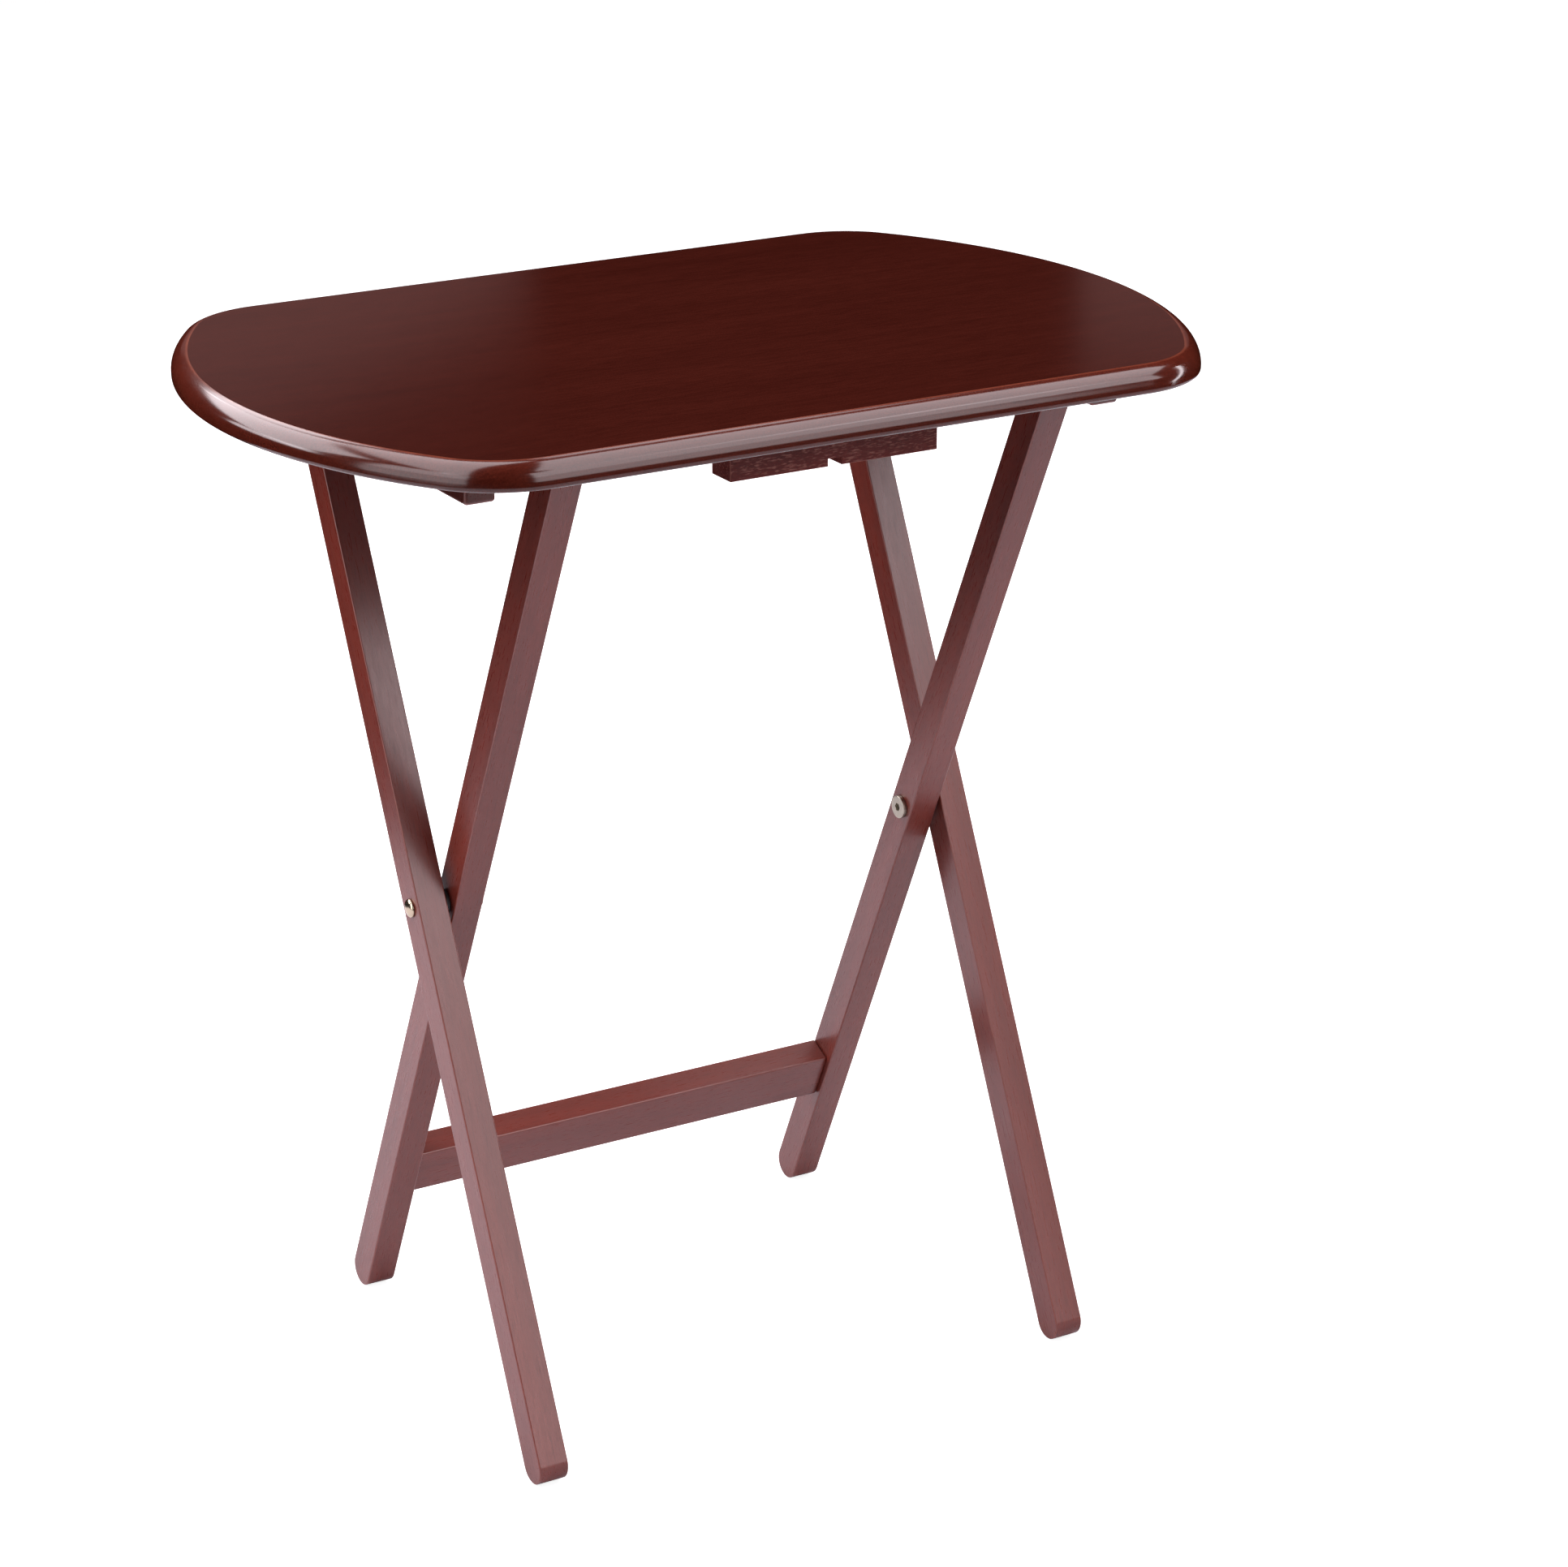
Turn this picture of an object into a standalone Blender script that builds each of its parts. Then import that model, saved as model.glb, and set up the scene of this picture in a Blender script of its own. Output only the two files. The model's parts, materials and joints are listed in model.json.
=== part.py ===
"""Folding tray table: a round-cornered top on two crossed pairs of wooden legs.

Metres, +Z up, the floor at z = 0, the long side of the top along X, the front at -Y.
The outer legs stand in front and are pinned behind, to two cleats under the top.
The inner legs stand behind and carry the front of the top on their rounded ends.
A dowel joins their upper ends and rests against the stop block under the top.
"""

import math

import bmesh
import bpy
from mathutils import Matrix, Vector

# Fit between pieces that touch
GAP = 0.0003

# Top
HEIGHT = 0.660
TOP_LENGTH = 0.621
TOP_DEPTH = 0.417
TOP_THICK = 0.0165
END_RADIUS = 0.312
CORNER_RADIUS = 0.068
UPPER_EDGE = 0.0104
UPPER_EDGE_DROP = 0.0112
CREASE = math.radians(12)
LOWER_EDGE = 0.0034
UNDERSIDE = HEIGHT - TOP_THICK

# Legs: rounded ends, crossing at the scissor bolts
LEG_THICK = 0.0195
LEG_WIDTH = 0.0225
LEG_EASE = 0.0008
LEG_RADIUS = LEG_WIDTH / 2
OUTER_LEG_X = 0.1975 - LEG_THICK / 2
LEG_GAP = 0.0042
INNER_LEG_X = OUTER_LEG_X - LEG_THICK - LEG_GAP
TILT = math.radians(25.1)
CROSS_Y = -0.003
CROSS_Z = 0.3262
PIN_Z = UNDERSIDE - LEG_RADIUS - GAP
UPPER_ARM = (PIN_Z - CROSS_Z) / math.cos(TILT)
LOWER_ARM = (CROSS_Z - LEG_RADIUS) / math.cos(TILT)
PIN_Y = CROSS_Y + UPPER_ARM * math.sin(TILT)

# Bars between the inner legs
STRETCHER_HEIGHT = 0.0357
STRETCHER_THICK = 0.0184
STRETCHER_UP = 0.0974
STRETCHER_BACK = 0.0018
TENON_LENGTH = 0.010
TENON_HEIGHT = 0.024
TENON_THICK = 0.010
DOWEL_RADIUS = 0.007
DOWEL_EASE = 0.001
DOWEL_SEAT = 0.012

# Cleats and stop block under the top
CLEAT_THICK = 0.0195
CLEAT_HEIGHT = 0.0232
CLEAT_X = 0.2010 + CLEAT_THICK / 2
CLEAT_FRONT = -0.141
CLEAT_BACK = PIN_Y + 0.022
CLEAT_SCREW_Y = (-0.118, 0.0, 0.098)
CLEAT_ROUND = 0.0022
BLOCK_ROUND = 0.001
BLOCK_LENGTH = 0.139
BLOCK_HEIGHT = 0.0228
BLOCK_FRONT = -0.1750
BLOCK_BACK = CROSS_Y - (PIN_Y - CROSS_Y) - DOWEL_RADIUS - GAP
BLOCK_SCREW_X = 0.040
NOTCH_WIDTH = 0.0095
NOTCH_DEPTH = 0.0048

# Connector bolts, barrel nuts and spacers
BARREL_RADIUS = 0.0045
DOME_RADIUS = 0.0058
DOME_HEIGHT = 0.0022
DOME_RIM = 0.0005
BARREL_WALL_END = 0.004
BOLT_RADIUS = 0.003
HEAD_RADIUS = 0.0075
HEAD_THICK = 0.0024
HEX_ACROSS = 0.005
HEX_DEPTH = 0.0016
METAL_EASE = 0.0004
SPACER_RADIUS = 0.0075
SCISSOR_BARREL = 0.038
SCISSOR_BOLT = 0.034
PIN_BARREL = 0.037
PIN_BOLT = 0.033

# Wood screws
SCREW_RADIUS = 0.0018
SCREW_HEAD_RADIUS = 0.0038
SCREW_HEAD_HEIGHT = 0.0026
SCREW_HEAD_RIM = 0.0004
SCREW_POINT = 0.004
SCREW_BITE = 0.0085
CROSS_LENGTH = 0.0044
CROSS_WIDTH = 0.0011
CROSS_DEPTH = 0.0016
MOUTH = 0.002

# Steps along each curve
END_STEPS = 8
CORNER_STEPS = 12
UPPER_EDGE_STEPS = 6
LOWER_EDGE_STEPS = 4
DOME_STEPS = 4

# Colours
LACQUER = (0.105, 0.022, 0.012, 1)
STAIN = (0.120, 0.032, 0.022, 1)
RAW_STAIN = (0.090, 0.026, 0.018, 1)
NICKEL = (0.72, 0.64, 0.52, 1)
STEEL = (0.62, 0.60, 0.56, 1)
NYLON = (0.06, 0.045, 0.04, 1)


def clear_scene():
    for obj in list(bpy.data.objects):
        bpy.data.objects.remove(obj, do_unlink=True)


def material(name, colour, roughness, metallic):
    made = bpy.data.materials.new(name + "_finish")
    made.use_nodes = True
    shader = made.node_tree.nodes["Principled BSDF"]
    shader.inputs["Base Color"].default_value = colour
    shader.inputs["Roughness"].default_value = roughness
    shader.inputs["Metallic"].default_value = metallic
    return made


def add_object(name, mesh, place=None, parent=None):
    obj = bpy.data.objects.new(name, mesh)
    bpy.context.scene.collection.objects.link(obj)
    obj.matrix_world = place or Matrix.Identity(4)
    if parent:
        obj.parent = parent
        obj.matrix_parent_inverse = parent.matrix_world.inverted()
    return obj


def empty(name, at):
    obj = bpy.data.objects.new(name, None)
    bpy.context.scene.collection.objects.link(obj)
    obj.location = at
    obj.empty_display_size = 0.02
    bpy.context.view_layer.update()
    return obj


def loft(rings):
    """A closed mesh through rings of equally many points, capped at both ends."""
    shape = bmesh.new()
    rows = [[shape.verts.new(point) for point in ring] for ring in rings]
    count = len(rings[0])
    for low, high in zip(rows, rows[1:]):
        for i in range(count):
            j = (i + 1) % count
            shape.faces.new((low[i], low[j], high[j], high[i]))
    shape.faces.new(rows[0])
    shape.faces.new(rows[-1])
    bmesh.ops.recalc_face_normals(shape, faces=shape.faces)
    mesh = bpy.data.meshes.new("shape")
    shape.to_mesh(mesh)
    shape.free()
    return mesh


def lathe(profile, sides=24):
    """Turns (radius, x) points about the X axis; the first and last lie on the axis."""
    shape = bmesh.new()
    start = shape.verts.new((profile[0][1], 0, 0))
    end = shape.verts.new((profile[-1][1], 0, 0))
    rows = []
    for radius, x in profile[1:-1]:
        turns = [2 * math.pi * i / sides for i in range(sides)]
        ring = [(x, radius * math.cos(t), radius * math.sin(t)) for t in turns]
        rows.append([shape.verts.new(point) for point in ring])
    for i in range(sides):
        j = (i + 1) % sides
        shape.faces.new((start, rows[0][i], rows[0][j]))
        shape.faces.new((end, rows[-1][j], rows[-1][i]))
        for low, high in zip(rows, rows[1:]):
            shape.faces.new((low[i], high[i], high[j], low[j]))
    bmesh.ops.recalc_face_normals(shape, faces=shape.faces)
    mesh = bpy.data.meshes.new("turned")
    shape.to_mesh(mesh)
    shape.free()
    return mesh


def smooth(mesh, angle=35):
    mesh.shade_smooth()
    mesh.set_sharp_from_angle(angle=math.radians(angle))


def top_outline(inset):
    """The top's outline, moved inwards: curved ends, rounded corners, straight long sides."""
    end = END_RADIUS - inset
    corner = CORNER_RADIUS - inset
    side = TOP_DEPTH / 2 - inset
    end_x = TOP_LENGTH / 2 - END_RADIUS
    corner_y = side - corner
    reach = math.sqrt((end - corner) ** 2 - corner_y**2)
    corner_x = end_x + reach
    meet = math.atan2(corner_y, reach)
    quarter = []
    for i in range(END_STEPS + 1):
        turn = meet * i / END_STEPS
        quarter.append((end_x + end * math.cos(turn), end * math.sin(turn)))
    for i in range(1, CORNER_STEPS + 1):
        turn = meet + (math.pi / 2 - meet) * i / CORNER_STEPS
        quarter.append((corner_x + corner * math.cos(turn), corner_y + corner * math.sin(turn)))
    left = [(-x, y) for x, y in reversed(quarter)]
    half = quarter + left
    return half + [(-x, -y) for x, y in half[1:-1]]


def tabletop_mesh():
    """The top's rounded edge, from the underside up to the crease where the flat face starts."""
    rings = []
    for i in range(LOWER_EDGE_STEPS + 1):
        turn = math.pi / 2 * i / LOWER_EDGE_STEPS
        inset = LOWER_EDGE * (1 - math.sin(turn))
        rings.append((inset, UNDERSIDE + LOWER_EDGE * (1 - math.cos(turn))))
    for i in range(UPPER_EDGE_STEPS + 1):
        turn = math.pi / 2 - (math.pi / 2 - CREASE) * i / UPPER_EDGE_STEPS
        inset = UPPER_EDGE * (1 - math.sin(turn)) / (1 - math.sin(CREASE))
        rings.append((inset, HEIGHT - UPPER_EDGE_DROP * (1 - math.cos(turn) / math.cos(CREASE))))
    return loft([[(x, y, z) for x, y in top_outline(inset)] for inset, z in rings])


def stadium(low, high, radius, x, steps=14):
    """A leg's outline across X: two half circles joined by straight sides."""
    points = []
    for centre, turn in ((high, 0.0), (low, math.pi)):
        for i in range(steps + 1):
            angle = turn + math.pi * i / steps
            points.append((x, radius * math.cos(angle), centre + radius * math.sin(angle)))
    return points


def leg_mesh():
    half = LEG_THICK / 2
    ends = ((-half, LEG_EASE), (LEG_EASE - half, 0), (half - LEG_EASE, 0), (half, LEG_EASE))
    return loft([stadium(-LOWER_ARM, UPPER_ARM, LEG_RADIUS - ease, x) for x, ease in ends])


def rounded_rectangle(width, height, radius, steps=3):
    corners = ((1, 1, 0.0), (-1, 1, 0.5), (-1, -1, 1.0), (1, -1, 1.5))
    points = []
    for across, up, turn in corners:
        for i in range(steps + 1):
            angle = math.pi * (turn + 0.5 * i / steps)
            x = across * (width / 2 - radius) + radius * math.cos(angle)
            y = up * (height / 2 - radius) + radius * math.sin(angle)
            points.append((x, y))
    return points


def batten_mesh(length, width, height, radius, along):
    """A batten centred on its origin, rounded on every arris; along is X or Y."""
    half = length / 2
    ends = ((-half, 0.7), (0.3 * radius - half, 0.3), (radius - half, 0.0))
    ends += tuple((-at, inset) for at, inset in reversed(ends))
    rings = []
    for at, share in ends:
        inset = radius * share
        section = rounded_rectangle(width - 2 * inset, height - 2 * inset, radius * (1.01 - share))
        if along == "X":
            rings.append([(at, y, z) for y, z in section])
        else:
            rings.append([(x, at, z) for x, z in section])
    return loft(rings)


def box_mesh(size):
    x, y, z = (side / 2 for side in size)
    ring = [(-x, -y), (x, -y), (x, y), (-x, y)]
    return loft([[(a, b, h) for a, b in ring] for h in (-z, z)])


def rod_mesh(radius, length, ease=0.0, sides=24):
    half = length / 2
    profile = [(0, -half), (radius - ease, -half), (radius, ease - half)]
    profile += [(radius, half - ease), (radius - ease, half), (0, half)]
    if not ease:
        profile = [(0, -half), (radius, -half), (radius, half), (0, half)]
    return lathe(profile, sides)


def helper(name, mesh, place, parent):
    cutter = add_object(name, mesh, place, parent)
    cutter.hide_render = True
    cutter.display_type = "WIRE"
    return cutter


def apply_boolean(obj, other, operation):
    step = obj.modifiers.new(other.name, "BOOLEAN")
    step.object = other
    step.operation = operation
    step.solver = "EXACT"


def cut(obj, name, mesh, place, parent):
    cutter = helper(name, mesh, place, parent)
    apply_boolean(obj, cutter, "DIFFERENCE")
    return cutter


def finish(obj, colour, roughness, metallic=0.0, angle=35):
    obj.data.materials.append(material(obj.name, colour, roughness, metallic))
    smooth(obj.data, angle)
    return obj


def turned_about_x(angle, at):
    return Matrix.Translation(Vector(at)) @ Matrix.Rotation(angle, 4, "X")


def facing(side, at):
    """A frame at a point whose +X faces out to this side of the table."""
    turn = Matrix.Identity(4) if side > 0 else Matrix.Rotation(math.pi, 4, "Z")
    return Matrix.Translation(Vector(at)) @ turn


def connector_nut(name, place, parent, length):
    """A domed barrel nut: the dome sits outside x = 0, the barrel runs inwards."""
    dome = []
    for i in range(DOME_STEPS):
        turn = math.pi / 2 * i / DOME_STEPS
        dome.append((DOME_RADIUS * math.cos(turn), GAP + DOME_RIM + DOME_HEIGHT * math.sin(turn)))
    bore = BOLT_RADIUS + GAP
    profile = [(0, -BARREL_WALL_END), (bore, -BARREL_WALL_END), (bore, -length), (BARREL_RADIUS, -length)]
    profile += [(BARREL_RADIUS, GAP), (DOME_RADIUS, GAP)] + dome + [(0, GAP + DOME_RIM + DOME_HEIGHT)]
    nut = add_object(name, lathe(profile), place, parent)
    return finish(nut, NICKEL, 0.22, 1.0, 40)


def connector_bolt(name, place, parent, length):
    """A flat-headed bolt with a hexagon socket: the shank runs to +X, the head sits below x = 0."""
    face = -GAP - HEAD_THICK
    profile = [(0, length), (BOLT_RADIUS - METAL_EASE, length), (BOLT_RADIUS, length - METAL_EASE)]
    profile += [(BOLT_RADIUS, -GAP), (HEAD_RADIUS, -GAP), (HEAD_RADIUS, face + METAL_EASE)]
    profile += [(HEAD_RADIUS - METAL_EASE, face), (0, face)]
    bolt = add_object(name, lathe(profile), place, parent)
    socket = rod_mesh(HEX_ACROSS / math.sqrt(3), 2 * HEX_DEPTH, sides=6)
    cut(bolt, name + "_socket", socket, place @ Matrix.Translation((face, 0, 0)), parent)
    return finish(bolt, NICKEL, 0.30, 1.0)


def spacer(name, x, at, parent, thick, bore):
    ring = lathe(
        [(0, -thick / 2), (SPACER_RADIUS, -thick / 2), (SPACER_RADIUS, thick / 2), (0, thick / 2)]
    )
    place = Matrix.Translation((x, at[1], at[2]))
    obj = add_object(name, ring, place, parent)
    cut(obj, name + "_bore", rod_mesh(bore, 2 * thick), place, parent)
    return finish(obj, NYLON, 0.45)


def wood_screw(name, at, parent, length):
    """A countersunk cross-head screw driven upwards: the head is flush at this point."""
    place = Matrix.Translation(Vector(at)) @ Matrix.Rotation(-math.pi / 2, 4, "Y")
    profile = [(0, 0), (SCREW_HEAD_RADIUS, 0), (SCREW_HEAD_RADIUS, SCREW_HEAD_RIM)]
    profile += [(SCREW_RADIUS, SCREW_HEAD_HEIGHT), (SCREW_RADIUS, length - SCREW_POINT), (0, length)]
    screw = add_object(name, lathe(profile, 16), place, parent)
    for turn in range(2):
        slot = box_mesh((2 * CROSS_DEPTH, CROSS_WIDTH, CROSS_LENGTH))
        spin = Matrix.Rotation(turn * math.pi / 2, 4, "X")
        cut(screw, f"{name}_slot_{turn}", slot, place @ spin, parent)
    return finish(screw, STEEL, 0.35, 1.0)


def screw_hole(obj, name, at, parent, length, head):
    """The clearance for a screw, with its countersink when head is set."""
    place = Matrix.Translation(Vector(at)) @ Matrix.Rotation(-math.pi / 2, 4, "Y")
    shank = SCREW_RADIUS + GAP
    wide = SCREW_HEAD_RADIUS + GAP
    if head:
        profile = [(0, -MOUTH), (wide, -MOUTH), (wide, SCREW_HEAD_RIM + 2 * GAP)]
        profile += [(shank, SCREW_HEAD_HEIGHT + 2 * GAP), (shank, length), (0, length)]
    else:
        profile = [(0, -MOUTH), (shank, -MOUTH), (shank, length), (0, length)]
    cut(obj, name, lathe(profile, 16), place, parent)


clear_scene()
base = empty("table", (0, 0, 0))
scissor_axis = empty("scissor_axis", (0, CROSS_Y, CROSS_Z))
pin_axis = empty("top_pin_axis", (0, PIN_Y, PIN_Z))
for axis in (scissor_axis, pin_axis):
    axis.parent = base

top = finish(add_object("tabletop", tabletop_mesh(), None, pin_axis), LACQUER, 0.16, angle=9)

# Legs, mirrored left and right
for label, side in (("left", -1), ("right", 1)):
    out_x = side * OUTER_LEG_X
    in_x = side * INNER_LEG_X
    for kind, x, lean in (("outer", out_x, -TILT), ("inner", in_x, TILT)):
        place = turned_about_x(lean, (x, CROSS_Y, CROSS_Z))
        leg = add_object(f"{kind}_leg_{label}", leg_mesh(), place, scissor_axis)
        bore = rod_mesh(BARREL_RADIUS + GAP, 2 * LEG_THICK)
        cut(leg, f"{kind}_{label}_scissor_bore", bore, place, scissor_axis)
        end = place @ Matrix.Translation((0, 0, UPPER_ARM))
        if kind == "outer":
            pin = rod_mesh(BARREL_RADIUS + GAP, 2 * LEG_THICK)
            cut(leg, f"{kind}_{label}_pin_bore", pin, end, scissor_axis)
        else:
            inner_face = -side * LEG_THICK / 2
            seat = rod_mesh(DOWEL_RADIUS + GAP, 2 * (DOWEL_SEAT + GAP))
            cut(leg, f"{label}_dowel_seat", seat, end @ Matrix.Translation((inner_face, 0, 0)), scissor_axis)
            up = STRETCHER_UP - LOWER_ARM
            at = place @ Matrix.Translation((inner_face, STRETCHER_BACK, up))
            size = (2 * (TENON_LENGTH + GAP), TENON_THICK + 2 * GAP, TENON_HEIGHT + 2 * GAP)
            cut(leg, f"{label}_mortise", box_mesh(size), at, scissor_axis)
        finish(leg, STAIN, 0.38)

# Lower stretcher with a tenon at each end, and the upper dowel
inner_face = INNER_LEG_X - LEG_THICK / 2
place = turned_about_x(TILT, (0, CROSS_Y, CROSS_Z)) @ Matrix.Translation(
    (0, STRETCHER_BACK, STRETCHER_UP - LOWER_ARM)
)
bar = batten_mesh(2 * (inner_face - GAP), STRETCHER_THICK, STRETCHER_HEIGHT, LEG_EASE, "X")
stretcher = add_object("lower_stretcher", bar, place, scissor_axis)
tenon = box_mesh((2 * (inner_face + TENON_LENGTH), TENON_THICK, TENON_HEIGHT))
apply_boolean(stretcher, helper("stretcher_tenon", tenon, place, scissor_axis), "UNION")
finish(stretcher, STAIN, 0.38)

place = turned_about_x(TILT, (0, CROSS_Y, CROSS_Z)) @ Matrix.Translation((0, 0, UPPER_ARM))
rod = rod_mesh(DOWEL_RADIUS, 2 * (inner_face + DOWEL_SEAT), DOWEL_EASE)
finish(add_object("upper_dowel", rod, place, scissor_axis), STAIN, 0.38)

# Cleats outside the outer legs
for label, side in (("left", -1), ("right", 1)):
    length = CLEAT_BACK - CLEAT_FRONT
    middle = (CLEAT_BACK + CLEAT_FRONT) / 2
    z = UNDERSIDE - GAP - CLEAT_HEIGHT / 2
    place = Matrix.Translation((side * CLEAT_X, middle, z))
    mesh = batten_mesh(length, CLEAT_THICK, CLEAT_HEIGHT, CLEAT_ROUND, "Y")
    cleat = add_object(f"cleat_{label}", mesh, place, pin_axis)
    at = Matrix.Translation((side * CLEAT_X, PIN_Y, PIN_Z))
    cut(cleat, f"cleat_{label}_pin_bore", rod_mesh(BARREL_RADIUS + GAP, 2 * CLEAT_THICK), at, pin_axis)
    for number, y in enumerate(CLEAT_SCREW_Y, 1):
        at = (side * CLEAT_X, y, UNDERSIDE - GAP - CLEAT_HEIGHT)
        screw = f"cleat_screw_{label}_{number}"
        screw_hole(cleat, screw + "_clearance", at, pin_axis, CLEAT_HEIGHT + MOUTH, True)
        deep = CLEAT_HEIGHT + SCREW_BITE
        screw_hole(top, screw + "_pilot", at, pin_axis, deep + 2 * GAP, False)
        wood_screw(screw, (at[0], at[1], at[2] + GAP), pin_axis, deep)
    finish(cleat, STAIN, 0.38)

# Stop block, notched in the middle of its lower edge
middle = (BLOCK_FRONT + BLOCK_BACK) / 2
z = UNDERSIDE - GAP - BLOCK_HEIGHT / 2
place = Matrix.Translation((0, middle, z))
mesh = batten_mesh(BLOCK_LENGTH, BLOCK_BACK - BLOCK_FRONT, BLOCK_HEIGHT, BLOCK_ROUND, "X")
block = add_object("stop_block", mesh, place, pin_axis)
notch = box_mesh((NOTCH_WIDTH, 2 * BLOCK_HEIGHT, 2 * NOTCH_DEPTH))
cut(block, "stop_block_notch", notch, place @ Matrix.Translation((0, 0, -BLOCK_HEIGHT / 2)), pin_axis)
for number, x in enumerate((-BLOCK_SCREW_X, BLOCK_SCREW_X), 1):
    at = (x, middle, UNDERSIDE - GAP - BLOCK_HEIGHT)
    screw = f"block_screw_{number}"
    screw_hole(block, screw + "_clearance", at, pin_axis, BLOCK_HEIGHT + MOUTH, True)
    deep = BLOCK_HEIGHT + SCREW_BITE
    screw_hole(top, screw + "_pilot", at, pin_axis, deep + 2 * GAP, False)
    wood_screw(screw, (at[0], at[1], at[2] + GAP), pin_axis, deep)
finish(block, RAW_STAIN, 0.5)

# Scissor bolts and top pivot bolts: barrel nut outside, flat-headed bolt inside, spacer between
for label, side in (("left", -1), ("right", 1)):
    outer_face = OUTER_LEG_X + LEG_THICK / 2
    inner_face = INNER_LEG_X - LEG_THICK / 2
    at = (0, CROSS_Y, CROSS_Z)
    outside = facing(side, (side * outer_face, *at[1:]))
    inside = facing(side, (side * inner_face, *at[1:]))
    connector_nut(f"scissor_nut_{label}", outside, scissor_axis, SCISSOR_BARREL)
    connector_bolt(f"scissor_bolt_{label}", inside, scissor_axis, SCISSOR_BOLT)
    x = side * (OUTER_LEG_X + INNER_LEG_X) / 2
    spacer(f"scissor_spacer_{label}", x, at, scissor_axis, LEG_GAP - 2 * GAP, BARREL_RADIUS + GAP)

    at = (0, PIN_Y, PIN_Z)
    cleat_face = CLEAT_X + CLEAT_THICK / 2
    leg_face = OUTER_LEG_X - LEG_THICK / 2
    outside = facing(side, (side * cleat_face, *at[1:]))
    inside = facing(side, (side * leg_face, *at[1:]))
    connector_nut(f"top_pin_nut_{label}", outside, pin_axis, PIN_BARREL)
    connector_bolt(f"top_pin_bolt_{label}", inside, pin_axis, PIN_BOLT)
    between = CLEAT_X - CLEAT_THICK / 2 - outer_face
    x = side * (outer_face + between / 2)
    spacer(f"top_pin_spacer_{label}", x, at, pin_axis, between - 2 * GAP, BARREL_RADIUS + GAP)
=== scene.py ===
"""The looks of the folding tray table: lacquered top, stained legs, nickel bolts, studio light.

Metres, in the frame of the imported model, whose boxes and joints say where the pieces lie. The
sizes named below are those of the roundings, bores and threads that a box doesn't tell. A leg is
built upright and a bar, bolt or screw along X, each about its own origin. The object's matrix
then puts it in place, so that the grain follows the piece.
"""

import json
import math

import bmesh
import bpy
from mathutils import Matrix, Vector


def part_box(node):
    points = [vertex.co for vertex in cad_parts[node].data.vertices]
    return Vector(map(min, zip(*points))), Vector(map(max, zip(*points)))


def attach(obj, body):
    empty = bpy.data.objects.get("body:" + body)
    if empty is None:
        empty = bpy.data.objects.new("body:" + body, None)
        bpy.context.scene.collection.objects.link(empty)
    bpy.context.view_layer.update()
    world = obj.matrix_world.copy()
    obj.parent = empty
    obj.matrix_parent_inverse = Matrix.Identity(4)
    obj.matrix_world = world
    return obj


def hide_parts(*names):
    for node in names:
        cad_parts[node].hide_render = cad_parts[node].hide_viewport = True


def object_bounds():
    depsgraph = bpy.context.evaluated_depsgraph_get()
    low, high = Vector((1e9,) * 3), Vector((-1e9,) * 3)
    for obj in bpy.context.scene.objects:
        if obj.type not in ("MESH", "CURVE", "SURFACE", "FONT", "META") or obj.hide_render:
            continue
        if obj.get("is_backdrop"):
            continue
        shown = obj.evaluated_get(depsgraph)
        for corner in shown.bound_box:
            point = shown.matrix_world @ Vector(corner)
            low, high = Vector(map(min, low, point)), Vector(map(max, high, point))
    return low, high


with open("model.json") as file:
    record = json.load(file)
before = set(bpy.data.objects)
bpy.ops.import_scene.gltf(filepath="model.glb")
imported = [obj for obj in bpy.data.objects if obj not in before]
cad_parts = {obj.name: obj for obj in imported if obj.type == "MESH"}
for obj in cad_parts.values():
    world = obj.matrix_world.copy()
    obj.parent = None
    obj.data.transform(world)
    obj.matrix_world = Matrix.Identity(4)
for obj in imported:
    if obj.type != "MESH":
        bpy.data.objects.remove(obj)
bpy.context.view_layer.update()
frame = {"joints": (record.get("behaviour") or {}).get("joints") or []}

SIDES = (("left", -1), ("right", 1))

# Fit between pieces that touch
GAP = 0.0003

# Top: two rounded edges, and a crease where the upper one meets the flat
END_RADIUS = 0.312
CORNER_RADIUS = 0.068
UPPER_EDGE = 0.0104
UPPER_EDGE_DROP = 0.0112
LOWER_EDGE = 0.0034
CREASE = math.radians(12)

# Wooden pieces. The stretcher has a thickness and a height, its tenons a length, a thickness and
# a height, and the notch a width and a depth.
LEG_EASE = 0.0009
STRETCHER_SIZE = (0.0184, 0.0357)
STRETCHER_EASE = 0.0011
TENON = (0.010, 0.010, 0.024)
DOWEL_RADIUS = 0.007
DOWEL_EASE = 0.001
DOWEL_SEAT = 0.012
CLEAT_ROUND = 0.0022
BLOCK_EASE = 0.0006
NOTCH = (0.0095, 0.0048)

# Bolts, barrel nuts and spacers
BARREL_RADIUS = 0.0045
BARREL_WALL_END = 0.004
DOME_RADIUS = 0.0058
DOME_RIM = 0.0005
DOME_HEIGHT = 0.0022
BOLT_RADIUS = 0.003
HEAD_RADIUS = 0.0075
HEAD_THICK = 0.0024
HEX_ACROSS = 0.005
HEX_DEPTH = 0.0016
METAL_EASE = 0.0004
SPACER_RADIUS = 0.0075

# Wood screws
SCREW_RADIUS = 0.0018
SCREW_HEAD_RADIUS = 0.0038
SCREW_HEAD_HEIGHT = 0.0026
SCREW_HEAD_RIM = 0.0004
SCREW_NECK_END = 0.006
SCREW_THREAD_START = 0.005
SCREW_POINT = 0.004
SCREW_PITCH = 0.0015
SCREW_THREAD = 0.0006
CROSS_LENGTH = 0.0044
CROSS_WIDTH = 0.0011
CROSS_DEPTH = 0.0016

# The rim of a hole's cutter, and the least radius of a rounded box's arris
HOLE_EASE = 0.0001
SMALLEST_REACH = 0.00001

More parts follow.
